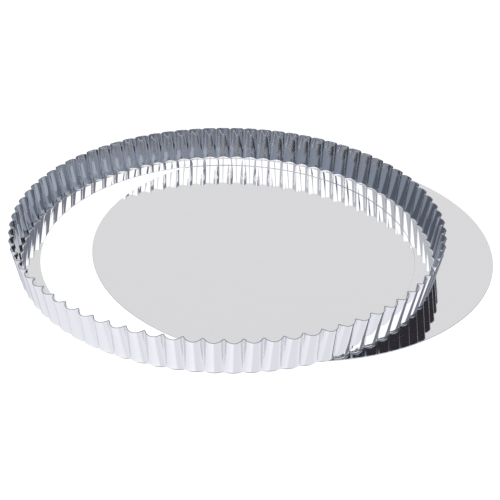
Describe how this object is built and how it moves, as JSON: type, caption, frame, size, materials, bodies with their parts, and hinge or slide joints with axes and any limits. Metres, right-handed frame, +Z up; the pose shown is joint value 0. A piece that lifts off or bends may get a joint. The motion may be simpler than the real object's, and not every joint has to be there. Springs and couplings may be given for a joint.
{
  "type": "tart pan",
  "caption": "Round fluted tart pan in bright tinplate: a shallow ring of outward-bulging flutes with a flat inner lip, standing on its loose flat base.",
  "frame": {"origin": "centre of the loose base's underside, on the table", "axes": "+Z up out of the pan, -Y the front, +X to the right; the ring is set off to the left and a little to the front"},
  "size_m": [0.3382, 0.3034, 0.0268],
  "materials": {
    "ring_tinplate": "bright tinned sheet, nearly mirror smooth, drawn into flutes",
    "base_tinplate": "bright tinned sheet, flat, with a faint rolled grain"
  },
  "bodies": {
    "base": {"loose_base": "base_tinplate"},
    "ring": {"fluted_ring": "ring_tinplate"}
  },
  "joints": [
    {"name": "ring_lift", "type": "slide", "parent": "base", "child": "ring", "axis": [0, 0, 1], "range_m": [0, 0.06]}
  ]
}
